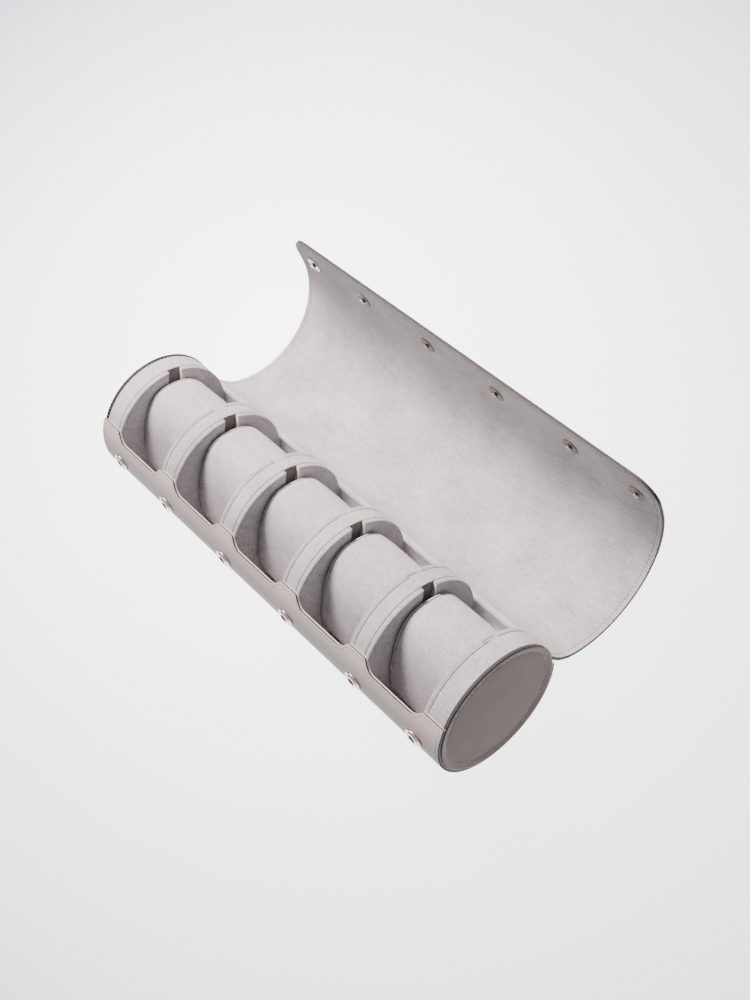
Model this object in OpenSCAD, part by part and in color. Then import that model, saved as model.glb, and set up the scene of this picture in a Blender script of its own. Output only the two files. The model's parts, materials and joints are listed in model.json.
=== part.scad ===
// Watch roll for five watches, open on its table.
// X runs along the roll, +Y points towards the open flap, +Z is up.
// The origin is the middle of the space it stands in, at the table.

/* [Roll] */
// Distance from one watch seat to the next
seat_pitch = 62; // [54:1:76]
// Radius of the ribs that the shell wraps
rib_r = 42.4; // [39:0.2:52]

/* [Ribs] */
// Width of the suede band round a divider
band_w = 9.5; // [7:0.5:12]
// Width of the suede band round an end
end_band_w = 13; // [9:0.5:18]
// Thickness of the suede band over its core
band_t = 0.9; // [0.6:0.1:1.4]
// Thickness of a padded slot plate
plate_t = 3.5; // [2.6:0.1:4.6]
// Rounding of a slot plate's padded rim
plate_round = 1.1; // [0.4:0.1:1.8]

/* [Slots] */
// Direction in which the slots open, in degrees above the horizontal
slot_angle = 57.7; // [52:0.1:64]
// Width of a slot
slot_w = 9.8; // [8:0.2:12]
// Clearance between a cushion's key and its slot
key_gap = 0.3; // [0.2:0.05:0.5]

/* [Shell] */
// Thickness of the outer leather
leather_t = 1.3; // [1:0.1:1.8]
// Thickness of the stiffening board
board_t = 0.7; // [0.6:0.1:1.2]
// Thickness of the suede lining
lining_t = 0.4; // [0.3:0.1:0.8]
// Angle of the front lip's tabs round the roll, in degrees
tab_angle = 134.7; // [132:0.1:139]
// Width of a tab along its top
tab_w = 14.1; // [10:0.1:17]
// Depth of the dip in front of each cushion
dip_d = 7.2; // [4:0.1:9]
// Slant of a dip's sides, along the roll
dip_slant = 5.7; // [2:0.1:8]

/* [Ends] */
// Thickness of an end's leather disc
disc_t = 1.2; // [0.8:0.1:2]
// Height of the disc's rolled rim above its face
rim_h = 0.9; // [0.4:0.1:1.6]
// Width of the rolled rim
rim_w = 2.4; // [1.6:0.1:4]

/* [Cushions] */
// Depth of a cushion's ends below the ribs' rims, along the slots
cushion_drop = 5.9; // [3:0.1:9]
// Width of a cushion's oval section
cushion_wide = 50.8; // [44:0.2:58]
// Gap between a cushion and the ribs at each end
cushion_gap = 0.8; // [0.5:0.1:1.5]
// How far a cushion's side swells between its ends
crown_h = 1.1; // [0.4:0.1:2]
// Rounding of a cushion's end edges
cushion_edge = 1.6; // [0.8:0.1:2.4]
// Thickness of a cushion's suede cover
cover_t = 1.1; // [0.8:0.1:2]
// Length of a cushion's end keys, along the slot
key_len = 22; // [16:1:28]

/* [Flap] */
// Angle round the roll at which the flap folds, in degrees
fold_angle = -18.8; // [-24:0.1:-14]
// Thickness of the flap's leather
flap_leather_t = 1.3; // [1:0.1:1.8]
// Thickness of the flap's suede
flap_suede_t = 0.7; // [0.5:0.1:1]
// How far the flap's sides stop short of the roll's ends
flap_inset = 3.8; // [1:0.1:8]
// Heading of the open flap where it leaves the fold, in degrees
root_heading = -74.8; // [-76:0.1:-72]
// Turn of the flap's root in degrees
root_turn = 40; // [38:0.5:42]
// Length of the flap's root
root_len = 24; // [22:0.5:26]
// Turn of the flap's belly in degrees
belly_turn = 92; // [90:0.5:94]
// Length of the flap's belly
belly_len = 84; // [80:0.5:88]
// Turn of the flap's shoulder in degrees
shoulder_turn = 32; // [30:0.5:34]
// Length of the flap's shoulder
shoulder_len = 33; // [30:0.5:36]
// Length of the flap's flat far edge
edge_len = 26; // [22:0.5:30]
// Rounding of the flap's far corners
corner_r = 16; // [6:1:20]
// Running gap where two stretches of the flap bend
bend_gap = 0.4; // [0.3:0.1:0.6]

/* [Snaps] */
// Distance from the last divider's middle to the end snap
end_snap = 51.8; // [46:0.2:54]
// Angle of the sockets round the roll, in degrees
socket_angle = 165.9; // [164:0.1:169]
// Width of a socket over its base
socket_d = 12.4; // [10:0.2:14]
// Height of a socket
socket_t = 2.6; // [2.2:0.1:3.2]
// Width of a socket's mouth
mouth_d = 5.2; // [4.8:0.1:6]
// Width of a stud's knob
knob_d = 4.2; // [3.4:0.1:4.4]
// Height of a stud's knob above its flange
knob_h = 1.6; // [1.2:0.1:1.8]
// Width of a stud's flange
flange_d = 12; // [9:0.2:13]
// Thickness of a stud's flange
flange_t = 0.7; // [0.5:0.1:1]
// Distance from the middle of a stud to the flap's far edge
stud_inset = 20; // [14:0.5:24]
// Width of the rivet that holds a snap
rivet_d = 3; // [2.4:0.1:3.4]
// Clearance round a rivet
rivet_fit = 0.05; // [0.03:0.01:0.1]

/* [Hidden] */
$fn = 96;
// Facets round a cushion and steps along its length, per half
oval_sides = 32;
crown_steps = 6;
// Squareness of the cushion's oval: two is an ellipse
oval_power = 2.65;
// Overrun of a cut past the face that it leaves
cut = 1;
// Ease between a cushion's core and its cover
cover_ease = 0.1;
// Steps along one stretch of the flap
flap_steps = 9;
// Gap between the fold's axis and the shell's outside
fold_gap = 0.35;
// Rounding of the rolled rim
rim_round = 0.8;
// Ease between an end disc and the lining round it
disc_ease = 0.05;
// The socket's floor, lip, bead and cavity
socket_floor = 1;
socket_lip = 0.6;
socket_step = 0.9;
socket_chamfer = 0.3;
cavity_wall = 1.1;
spring_w = 0.5;
spring_h = 0.4;
spring_gap = 0.6;
spring_len = 5;
// The post under the lining
post_flange_d = 8;
post_flange_t = 0.35;
post_head_d = 4;
post_head_t = 0.3;
post_room = 0.2;
// The knob's neck and the rivet caps
neck_inset = 0.35;
neck_share = 0.4;
cap_d = 11;
cap_t = 0.9;
cap_rim = 0.35;

seats = 5;
seat_row = [for (i = [0 : seats - 1]) i - (seats - 1) / 2];
divider_row = [for (i = [0 : seats - 2]) i - (seats - 2) / 2];
divider_x = [for (k = divider_row) k * seat_pitch];
rib_half = band_w / 2 + plate_t;
end_plate_x = (seats / 2) * seat_pitch - rib_half;
end_band_x = end_plate_x + plate_t;
disc_x = end_band_x + end_band_w;
rim_x = disc_x + disc_t + rim_h;
snap_x = concat([divider_x[0] - end_snap], divider_x, [divider_x[seats - 2] + end_snap]);

lining_r = rib_r + lining_t;
board_r = lining_r + board_t;
shell_r = board_r + leather_t;
flap_t = flap_leather_t + flap_suede_t;
flap_half = rim_x - flap_inset;
core_r = rib_r - band_t;

cushion_long = 2 * (rib_r - cushion_drop);
seat_clear = seat_pitch - 2 * rib_half;
cushion_len = seat_clear - 2 * cushion_gap;
slot_floor = key_len / 2 + key_gap;
key_w = slot_w - 2 * key_gap;

// Heading of the flap at a distance s from the fold, in degrees
zones = [[root_turn, root_len], [belly_turn, belly_len], [shoulder_turn, shoulder_len], [0, edge_len]];
function zone_turn(s, i = 0) =
    i >= len(zones) ? 0 :
    zones[i][0] * min(max(s / zones[i][1], 0), 1) + zone_turn(s - zones[i][1], i + 1);
function heading(s) = root_heading + zone_turn(s);
function toward(a) = [cos(a), sin(a)];
function left_of(a) = [-sin(a), cos(a)];

flap_len = root_len + belly_len + shoulder_len + edge_len;
stud_s = flap_len - stud_inset;
fold_p = (shell_r + fold_gap) * toward(fold_angle);
flap_start = fold_p + flap_t * left_of(root_heading) + bend_gap / 2 * toward(root_heading);
// Places where the flap's stretches bend on each other
bend_share = [0, 0.24, 0.49, 0.75, 1];
bend_s = [for (k = bend_share) k * flap_len];

// Point of the suede side at a distance s, by short steps along the heading
walk_steps = 240;
walk = flap_len / walk_steps;
function walked(i) = i == 0 ? [flap_start] :
    let (before = walked(i - 1)) concat(before, [before[i - 1] + walk * toward(heading((i - 0.5) * walk))]);
flap_path = walked(walk_steps);
function flap_at(s) =
    let (u = s / walk, i = min(floor(u), walk_steps - 1))
    flap_path[i] + (u - i) * (flap_path[i + 1] - flap_path[i]);
function flap_side(s, depth) = flap_at(s) - depth * left_of(heading(s));

flap_low = min([for (i = [0 : walk_steps]) flap_side(i * walk, flap_t)[1]]);
axis_z = max(shell_r, -flap_low);
front_reach = (shell_r + socket_t) * cos(180 - socket_angle)
    + (socket_d / 2 - socket_step - socket_chamfer) * sin(180 - socket_angle);
back_reach = flap_at(stud_s)[0] + flap_t + cap_t;
axis_y = -(back_reach - front_reach) / 2;

// Places children round the roll's axis
module on_axis() {
    translate([0, axis_y, axis_z]) children();
}

// Extrudes a drawing of the roll's section, Y across and Z up, between two places along X
module along(x0, x1) {
    translate([x0, 0, 0]) rotate([90, 0, 90]) linear_extrude(x1 - x0) children();
}

// Turns +Z to a direction round the roll
module facing(angle) {
    rotate([angle - 90, 0, 0]) children();
}

// The stretch of the section that the shell leaves open, from the fold up and over to the lip
module open_side() {
    far = 2 * shell_r;
    back = fold_angle - atan(fold_gap / shell_r);
    polygon([for (k = [0 : 4]) far * toward(back + k * (tab_angle - back) / 4), [0, 0]]);
}

module shell_section(inner, outer) {
    difference() {
        circle(outer);
        circle(inner);
        open_side();
    }
}

// The dips in the front lip, one before each cushion
module lip_dips() {
    half = (seat_pitch - tab_w) / 2;
    dip_angle = tab_angle + asin(dip_d / shell_r);
    for (k = seat_row)
        translate([k * seat_pitch, 0, 0]) facing(dip_angle) translate([0, 0, core_r])
            linear_extrude(shell_r - core_r + cut) polygon([
                [-half + dip_slant, 0], [half - dip_slant, 0],
                [half, dip_d], [half, dip_d + cut], [-half, dip_d + cut], [-half, dip_d]
            ]);
}

// Places children on the shell's outside at each socket
module at_sockets() {
    for (x = snap_x)
        translate([x, 0, 0]) facing(socket_angle) translate([0, 0, shell_r]) children();
}

module shell_layer(inner, outer, hole_d) {
    difference() {
        along(-disc_x - disc_t, disc_x + disc_t) shell_section(inner, outer);
        lip_dips();
        if (hole_d > 0)
            at_sockets() translate([0, 0, rib_r - shell_r]) cylinder(h = shell_r - rib_r + cut, d = hole_d);
    }
}

module shell_leather() {
    color("#B3ABA8") on_axis() shell_layer(board_r, shell_r, rivet_d + 2 * rivet_fit);
}

module shell_board() {
    color("#8C7B66") on_axis() shell_layer(lining_r, board_r, post_flange_d + 2 * post_room);
}

module shell_lining() {
    color("#CBC6C6") on_axis() shell_layer(rib_r, lining_r, 0);
}

// A leather end disc on the right, with its rolled rim
module end_disc() {
    disc_r = rib_r - disc_ease;
    inside = disc_r - rim_w;
    rise = disc_t + rim_h;
    translate([disc_x, 0, 0]) rotate([0, 90, 0]) rotate_extrude() {
        square([inside + rim_round, disc_t]);
        difference() {
            translate([inside, 0]) square([rim_w, rise]);
            for (side = [0, 1])
                translate([side ? disc_r : inside, rise]) corner_cut(rim_round, side ? -1 : 1);
        }
    }
}

// What a rounding of radius r takes off a corner whose material lies on one side and below
module corner_cut(r, side) {
    difference() {
        translate([-r, -r]) square(2 * r);
        translate([side * r, -r]) circle(r);
        translate([side > 0 ? r : -2 * r, -r]) square([r, r]);
        translate([-2 * r, -3 * r]) square([4 * r, 2 * r]);
    }
}

module left_end_disc() {
    color("#8A7D7B") on_axis() mirror([1, 0, 0]) end_disc();
}

module right_end_disc() {
    color("#8A7D7B") on_axis() end_disc();
}

module rib_core(x0, width) {
    along(x0, x0 + width) circle(core_r);
}

module rib_band(x0, width) {
    along(x0, x0 + width) difference() {
        circle(rib_r);
        circle(core_r);
    }
}

// The slot that a cushion's key slides down, open at the rim
module slot(width) {
    rotate(slot_angle) {
        translate([-slot_floor + width / 2, -width / 2]) square([slot_floor + rib_r + cut, width]);
        translate([-slot_floor + width / 2, 0]) circle(d = width);
    }
}

// A padded plate whose rounded rim faces +X, its back at x0
module slot_plate(x0) {
    difference() {
        translate([x0, 0, 0]) rotate([0, 90, 0]) rotate_extrude() difference() {
            square([rib_r, plate_t]);
            translate([rib_r, plate_t]) corner_cut(plate_round, -1);
        }
        along(x0 - cut, x0 + plate_t + cut) slot(slot_w);
    }
}

module left_end_core() {
    color("#8C7B66") on_axis() rib_core(-disc_x, end_band_w);
}

module right_end_core() {
    color("#8C7B66") on_axis() rib_core(end_band_x, end_band_w);
}

module left_end_band() {
    color("#CDC8C8") on_axis() rib_band(-disc_x, end_band_w);
}

module right_end_band() {
    color("#CDC8C8") on_axis() rib_band(end_band_x, end_band_w);
}

module left_end_plate() {
    color("#C4BFC0") on_axis() slot_plate(-end_band_x);
}

module right_end_plate() {
    color("#C4BFC0") on_axis() mirror([1, 0, 0]) slot_plate(-end_band_x);
}

module divider_core(i) {
    color("#8C7B66") on_axis() rib_core(divider_x[i] - band_w / 2, band_w);
}

module divider_band(i) {
    color("#CDC8C8") on_axis() rib_band(divider_x[i] - band_w / 2, band_w);
}

module divider_plates(i) {
    color("#C4BFC0") on_axis() translate([divider_x[i], 0, 0]) {
        slot_plate(band_w / 2);
        mirror([1, 0, 0]) slot_plate(band_w / 2);
    }
}

// Oval of the cushion's section with its long axis along +Y, drawn in by inset all round
function bulge(c) = sign(c) * pow(abs(c), 2 / oval_power);
function oval(inset) = [for (i = [0 : oval_sides - 1]) let (a = 360 * i / oval_sides) [
    (cushion_long / 2 - inset) * bulge(cos(a)),
    (cushion_wide / 2 - inset) * bulge(sin(a))
]];

// Where the crown's rings lie along the cushion, and how far each is drawn in
function ring_x(i) = cushion_len / 2 * sin(90 * i / crown_steps);
function edge_inset(x) =
    let (d = max(abs(x) - (cushion_len / 2 - cushion_edge), 0))
    cushion_edge - sqrt(max(pow(cushion_edge, 2) - pow(d, 2), 0));
function ring_inset(i) =
    let (x = ring_x(i)) crown_h * pow(2 * abs(x) / cushion_len, 2) + edge_inset(x);

module cushion_body() {
    rings = [for (i = [-crown_steps : crown_steps]) i];
    points = [for (i = rings) for (p = oval(ring_inset(i))) [ring_x(i), p[0], p[1]]];
    n = oval_sides;
    ends = [[ring_x(-crown_steps), 0, 0], [ring_x(crown_steps), 0, 0]];
    first = len(points);
    last = first + 1;
    top = (len(rings) - 1) * n;
    polyhedron(
        points = concat(points, ends),
        faces = concat(
            [for (r = [0 : len(rings) - 2]) for (k = [0 : n - 1])
                [r * n + k, (r + 1) * n + k, (r + 1) * n + (k + 1) % n]],
            [for (r = [0 : len(rings) - 2]) for (k = [0 : n - 1])
                [r * n + k, (r + 1) * n + (k + 1) % n, r * n + (k + 1) % n]],
            [for (k = [0 : n - 1]) [first, k, (k + 1) % n]],
            [for (k = [0 : n - 1]) [last, top + (k + 1) % n, top + k]]
        )
    );
}

// Places children in a seat: +Y points out along the slots
module at_seat(i) {
    on_axis() translate([seat_row[i] * seat_pitch, 0, 0]) rotate([slot_angle, 0, 0]) children();
}

module cushion_core_shape(ease) {
    depth = cushion_len / 2 - cover_t - ease;
    along(-depth, depth) polygon(oval(crown_h + cover_t + ease));
}

module cushion_cover(i) {
    color("#C9C4C5") at_seat(i) difference() {
        cushion_body();
        cushion_core_shape(0);
    }
}

module cushion_core(i) {
    color("#E3DCC8") at_seat(i) cushion_core_shape(cover_ease);
}

// A key on each end of the cushion, round at both ends of its bar
module cushion_keys(i) {
    depth = cushion_gap + plate_t - key_gap;
    run = key_len / 2 - key_w / 2;
    color("#B9B3B3") at_seat(i) for (side = [0, 1]) mirror([side, 0, 0])
        along(cushion_len / 2, cushion_len / 2 + depth) {
            translate([-run, -key_w / 2]) square([2 * run, key_w]);
            for (end = [-run, run]) translate([end, 0]) circle(d = key_w);
        }
}

// One stretch of the flap between two depths below its suede side
module flap_stretch(i, d0, d1) {
    from = bend_s[i] + bend_gap / 2;
    to = bend_s[i + 1] - (i < len(bend_s) - 2 ? bend_gap / 2 : 0);
    curved = min(to, flap_len - edge_len);
    stations = [
        for (k = [0 : flap_steps]) from + k * (curved - from) / flap_steps,
        if (to > curved) to
    ];
    along(-flap_half, flap_half) polygon(concat(
        [for (s = stations) flap_side(s, d0)],
        [for (k = [len(stations) - 1 : -1 : 0]) flap_side(stations[k], d1)]
    ));
}

// Places children on the flap's suede side, +Y along the flap and +Z out of the suede
module on_flap(s) {
    p = flap_at(s);
    translate([0, p[0], p[1]]) rotate([heading(s), 0, 0]) children();
}

// What the rounding takes off the flap's two far corners
module far_corners() {
    for (side = [0, 1]) mirror([side, 0, 0])
        on_flap(flap_len) translate([flap_half - corner_r, -corner_r, -2 * flap_t])
            linear_extrude(3 * flap_t) difference() {
                square(corner_r + cut);
                circle(corner_r);
            }
}

module at_studs() {
    for (x = snap_x) translate([x, 0, 0]) on_flap(stud_s) children();
}

// The flap's far stretch, with its round corners and the holes for the snaps' rivets
module flap_edge_layer(d0, d1) {
    difference() {
        flap_stretch(3, d0, d1);
        far_corners();
        at_studs() translate([0, 0, -2 * flap_t]) cylinder(h = 3 * flap_t, d = rivet_d + 2 * rivet_fit);
    }
}

module flap_leather_root() {
    color("#B3ABA8") on_axis() flap_stretch(0, flap_suede_t, flap_t);
}

module flap_leather_belly() {
    color("#B3ABA8") on_axis() flap_stretch(1, flap_suede_t, flap_t);
}

module flap_leather_shoulder() {
    color("#B3ABA8") on_axis() flap_stretch(2, flap_suede_t, flap_t);
}

module flap_leather_edge() {
    color("#B3ABA8") on_axis() flap_edge_layer(flap_suede_t, flap_t);
}

module flap_suede_root() {
    color("#C6C1C1") on_axis() flap_stretch(0, 0, flap_suede_t);
}

module flap_suede_belly() {
    color("#C6C1C1") on_axis() flap_stretch(1, 0, flap_suede_t);
}

module flap_suede_shoulder() {
    color("#C6C1C1") on_axis() flap_stretch(2, 0, flap_suede_t);
}

module flap_suede_edge() {
    color("#C6C1C1") on_axis() flap_edge_layer(0, flap_suede_t);
}

// The female half of a snap: a stepped cup with a mouth and a cavity for its springs
module socket_cup() {
    base_r = socket_d / 2;
    bead_r = base_r - socket_step;
    hole_r = rivet_d / 2 + rivet_fit;
    cavity_r = bead_r - cavity_wall;
    step_z = socket_t / 2;
    rotate_extrude() polygon([
        [hole_r, 0], [base_r, 0], [base_r, step_z - socket_chamfer], [base_r - socket_chamfer, step_z],
        [bead_r, step_z], [bead_r, socket_t - socket_chamfer], [bead_r - socket_chamfer, socket_t],
        [mouth_d / 2, socket_t], [mouth_d / 2, socket_t - socket_lip], [cavity_r, socket_t - socket_lip],
        [cavity_r, socket_floor], [hole_r, socket_floor]
    ]);
}

module snap_sockets() {
    color("#CFC4BC") on_axis() at_sockets() socket_cup();
}

// Two spring wires beside each socket's mouth
module socket_springs() {
    z = socket_t - socket_lip - spring_h;
    color("#A9A6A4") on_axis() at_sockets() for (side = [0, 1]) mirror([0, side, 0])
        translate([-spring_len / 2, knob_d / 2 + spring_gap, z]) cube([spring_len, spring_w, spring_h]);
}

// The post that rivets a socket to the leather, its flange under the lining
module socket_posts() {
    flange_r = post_flange_d / 2;
    top = sqrt(pow(board_r, 2) - pow(flange_r, 2)) - shell_r;
    color("#BFB8B3") on_axis() at_sockets() {
        translate([0, 0, top - post_flange_t]) cylinder(h = post_flange_t, r = flange_r);
        translate([0, 0, top]) cylinder(h = socket_floor - top, d = rivet_d);
        translate([0, 0, socket_floor]) cylinder(h = post_head_t, d = post_head_d);
    }
}

// The male half of a snap: a thin flange and a necked knob
module snap_studs() {
    knob_r = knob_d / 2;
    neck_r = knob_r - neck_inset;
    neck_z = flange_t + neck_share * knob_h;
    tip = flange_t + knob_h;
    color("#B8B2AE") on_axis() at_studs() rotate_extrude() polygon([
        [0, 0], [flange_d / 2, 0], [flange_d / 2, flange_t / 2], [flange_d / 2 - flange_t / 2, flange_t],
        [neck_r, flange_t], [neck_r, neck_z], [knob_r, neck_z + neck_inset],
        [knob_r, tip - neck_inset], [neck_r, tip], [0, tip]
    ]);
}

// The rivet caps on the flap's leather side, with their shanks
module snap_caps() {
    color("#B8B2AE") on_axis() at_studs() {
        translate([0, 0, -flap_t]) cylinder(h = flap_t, d = rivet_d);
        translate([0, 0, -flap_t - cap_t]) rotate_extrude() polygon([
            [0, 0], [cap_d / 2 - cap_t, 0], [cap_d / 2, cap_t - cap_rim], [cap_d / 2, cap_t], [0, cap_t]
        ]);
    }
}

shell_leather();
shell_board();
shell_lining();
left_end_disc();
right_end_disc();
left_end_core();
right_end_core();
left_end_band();
right_end_band();
left_end_plate();
right_end_plate();
divider_core(0);  // divider_core_1
divider_core(1);  // divider_core_2
divider_core(2);  // divider_core_3
divider_core(3);  // divider_core_4
divider_band(0);  // divider_band_1
divider_band(1);  // divider_band_2
divider_band(2);  // divider_band_3
divider_band(3);  // divider_band_4
divider_plates(0);  // divider_plates_1
divider_plates(1);  // divider_plates_2
divider_plates(2);  // divider_plates_3
divider_plates(3);  // divider_plates_4
cushion_cover(0);  // cushion_cover_1
cushion_cover(1);  // cushion_cover_2
cushion_cover(2);  // cushion_cover_3
cushion_cover(3);  // cushion_cover_4
cushion_cover(4);  // cushion_cover_5
cushion_core(0);  // cushion_core_1
cushion_core(1);  // cushion_core_2
cushion_core(2);  // cushion_core_3
cushion_core(3);  // cushion_core_4
cushion_core(4);  // cushion_core_5
cushion_keys(0);  // cushion_keys_1
cushion_keys(1);  // cushion_keys_2
cushion_keys(2);  // cushion_keys_3
cushion_keys(3);  // cushion_keys_4
cushion_keys(4);  // cushion_keys_5
flap_leather_root();
flap_leather_belly();
flap_leather_shoulder();
flap_leather_edge();
flap_suede_root();
flap_suede_belly();
flap_suede_shoulder();
flap_suede_edge();
snap_sockets();
socket_springs();
socket_posts();
snap_studs();
snap_caps();
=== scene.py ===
"""A leather watch roll for five watches, open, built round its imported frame."""

import json
import math

import bmesh
import bpy
from mathutils import Matrix, Vector, kdtree, noise
from mathutils.bvhtree import BVHTree


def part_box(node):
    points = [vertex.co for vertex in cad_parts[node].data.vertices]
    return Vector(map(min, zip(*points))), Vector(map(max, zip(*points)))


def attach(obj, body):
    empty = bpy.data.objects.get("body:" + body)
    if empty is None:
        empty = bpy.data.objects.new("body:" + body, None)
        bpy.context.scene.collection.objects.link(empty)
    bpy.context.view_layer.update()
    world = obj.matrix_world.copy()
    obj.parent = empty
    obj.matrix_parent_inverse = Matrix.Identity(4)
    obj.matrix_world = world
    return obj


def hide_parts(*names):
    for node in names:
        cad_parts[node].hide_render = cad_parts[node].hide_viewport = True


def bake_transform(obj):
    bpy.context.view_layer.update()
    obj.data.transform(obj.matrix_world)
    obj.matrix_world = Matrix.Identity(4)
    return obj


bl_info = {
    "name": "Watch Roll",
    "version": (1, 0, 0),
    "blender": (4, 5, 0),
    "location": "View3D > Sidebar > Watch Roll",
    "description": "Builds an open leather watch roll and its studio",
    "category": "Object",
}

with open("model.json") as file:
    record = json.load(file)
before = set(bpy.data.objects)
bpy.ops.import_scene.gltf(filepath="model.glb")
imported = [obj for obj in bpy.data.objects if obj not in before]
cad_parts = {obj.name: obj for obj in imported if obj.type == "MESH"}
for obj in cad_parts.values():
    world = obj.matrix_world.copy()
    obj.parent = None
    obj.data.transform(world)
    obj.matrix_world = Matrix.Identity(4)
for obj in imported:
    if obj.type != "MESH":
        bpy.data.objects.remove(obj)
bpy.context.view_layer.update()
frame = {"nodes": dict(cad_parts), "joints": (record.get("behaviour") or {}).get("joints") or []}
NODES = frame["nodes"]
JOINTS = {joint["name"]: joint for joint in frame["joints"]}

MM = 0.001
QUARTER = math.radians(90)

# Lays a thing that was made upright along the roll.
LAID = Matrix.Rotation(QUARTER, 4, "Y")

# The seats along the roll, the dividers between them and the snaps on the dividers and ends.
SEATS = 5
DIVIDERS = 4
SEAT_PITCH = 62 * MM
SEAT_X = [(k - (SEATS - 1) / 2) * SEAT_PITCH for k in range(SEATS)]
DIVIDER_X = [(k - (DIVIDERS - 1) / 2) * SEAT_PITCH for k in range(DIVIDERS)]
END_SNAP_X = 144.8 * MM
SNAP_X = [-END_SNAP_X, *DIVIDER_X, END_SNAP_X]
ENDS = (("left", -1), ("right", 1))

# The round ribs, the shell wrapped on them and the discs that close its ends.
BAND_LOW, BAND_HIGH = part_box("divider_band_1")
AXIS = Vector((0, (BAND_LOW.y + BAND_HIGH.y) / 2, (BAND_LOW.z + BAND_HIGH.z) / 2))
RIB_R = (BAND_HIGH.z - BAND_LOW.z) / 2
BAND_W = BAND_HIGH.x - BAND_LOW.x
SHELL_R = RIB_R + 2.4 * MM
LEATHER_IN = RIB_R + 1.1 * MM
SHELL_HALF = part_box("shell_leather")[1].x
PLATE_T = 3.5 * MM
END_BAND_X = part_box("right_end_band")[0].x
DISC_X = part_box("right_end_disc")[0].x
RIM_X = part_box("right_end_disc")[1].x

# Angles round the roll's axis, in degrees: 0 is the back, 90 the top and 180 the front.
SLOT_ANGLE = 57.7
TAB_ANGLE = 134.7
SOCKET_ANGLE = 165.9
BACK_ANGLE = 341.2
LEAN = Matrix.Rotation(math.radians(SLOT_ANGLE), 4, "X")

# The slots end this far past the axis. The lip has a tab at each rib and a dip with slanted sides between.
SLOT_W = 9.8 * MM
SLOT_FLOOR = 11.3 * MM
TAB_W = 14.1 * MM
DIP_D = 7.2 * MM
DIP_SLANT = 5.7 * MM

# The flap curls in zones, each a turn in degrees over a length. Its bends lie at shares of its length.
FOLD = Vector(JOINTS["flap_fold"]["pos_m"])
FLAP_T = 2 * MM
SUEDE_T = 0.7 * MM
FLAP_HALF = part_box("flap_leather_edge")[1].x
FLAP_HEADING = -74.8
FLAP_ZONES = ((40, 24 * MM), (92, 84 * MM), (32, 33 * MM), (0, 26 * MM))
FLAP_LEN = sum(run for turn, run in FLAP_ZONES)
BENDS = (0, 0.24 * FLAP_LEN, 0.49 * FLAP_LEN, 0.75 * FLAP_LEN, FLAP_LEN)
STUD_S = FLAP_LEN - 20 * MM
CORNER_R = 16 * MM

# Round the fold the flap's suede meets the lining: its angles, and its length there.
FOLD_FROM = 161.2
FOLD_TO = 15.2
FOLD_ARC = 6.1 * MM


def linear(code):
    """Linear colour of an sRGB hex code."""
    shares = [int(code[k:k + 2], 16) / 255 for k in (0, 2, 4)]
    return [c / 12.92 if c <= 0.04045 else ((c + 0.055) / 1.055) ** 2.4 for c in shares]


def colour(code, words):
    return bpy.props.FloatVectorProperty(
        name=words, description=words + ", as seen in soft daylight",
        subtype="COLOR", size=3, min=0, max=1, default=linear(code),
    )


def length(value, words):
    return bpy.props.FloatProperty(
        name=words, description=words + " of the real roll",
        subtype="DISTANCE", unit="LENGTH", min=0, default=value * MM, precision=5,
    )


class RollSizes(bpy.types.PropertyGroup):
    """Small sizes that only the finished piece has"""

    stitch_pitch: length(2.7, "Stitch pitch")
    stitch_inset: length(3.4, "Distance from a stitch line to its edge")
    lip_inset: length(2, "Distance from the lip's stitch line to its edge")
    thread_w: length(0.7, "Thread width")
    seam_w: length(0.7, "Seam width")
    seam_d: length(0.8, "Seam depth")
    edge_round: length(0.28, "Rounding of a painted edge")
    plate_round: length(1.1, "Rounding of a padded plate")


class RollColours(bpy.types.PropertyGroup):
    """Colours of the roll's leathers, suedes and metal, some painted lighter or darker as light and shade"""

    leather: colour("DED1CC", "Outer leather")
    end_leather: colour("98847D", "End leather")
    suede: colour("C9C6C8", "Suede")
    cushion: colour("CCC7CB", "Cushion suede")
    # A dark suede on the slot floors and seam grooves: painted shade in these recesses.
    slot: colour("7A7371", "Slot floors and seam grooves, painted shade")
    paint: colour("454347", "Edge paint")
    end_thread: colour("CBC2BE", "End thread")
    # The thread is grey, and is drawn darker than it is as painted shade of its stitch holes.
    thread: colour("938A87", "Thread")
    nickel: colour("C2B7AF", "Nickel")
    # The studs' nickel, painted darker as shade that dims their reflections.
    stud: colour("6C6867", "Studs")
    # The floor's colour at the middle of its painted glow.
    floor: colour("F1F0EF", "Floor")


def sized():
    return bpy.context.scene.watch_roll_sizes


def add(tree, kind, inputs=None, **settings):
    """Adds a node, sets its options and joins or sets its inputs."""
    node = tree.nodes.new(kind)
    for name, value in settings.items():
        setattr(node, name, value)
    for name, value in (inputs or {}).items():
        if isinstance(value, bpy.types.NodeSocket):
            tree.links.new(value, node.inputs[name])
        else:
            node.inputs[name].default_value = value
    return node


def new_material(name):
    made = bpy.data.materials.new(name)
    made.use_nodes = True
    made.node_tree.nodes.clear()
    return made, made.node_tree


def per_metre(size):
    """Scale of a noise whose marks are a number of millimetres wide."""
    return 1 / (size * MM)


def tinted(base, share):
    """A colour made lighter or darker by a share."""
    return (*[min(1, max(0, c * (1 + share))) for c in base[:3]], 1)


def mottled(name, base, size, detail, low, high):
    """Starts a material whose colour drifts between two tints, in marks of a number of millimetres."""
    made, tree = new_material(name)
    place = add(tree, "ShaderNodeTexCoord").outputs["Object"]
    marks = add(tree, "ShaderNodeTexNoise", {
        "Vector": place, "Scale": per_metre(size), "Detail": detail,
    }).outputs[0]
    shade = add(tree, "ShaderNodeMix", {
        "Factor": marks, "A": tinted(base, low), "B": tinted(base, high),
    }, data_type="RGBA").outputs["Result"]
    return made, tree, place, marks, shade


def surfaced(made, tree, inputs):
    """Ends a material with its surface."""
    surface = add(tree, "ShaderNodeBsdfPrincipled", inputs)
    add(tree, "ShaderNodeOutputMaterial", {"Surface": surface.outputs[0]})
    return made


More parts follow.
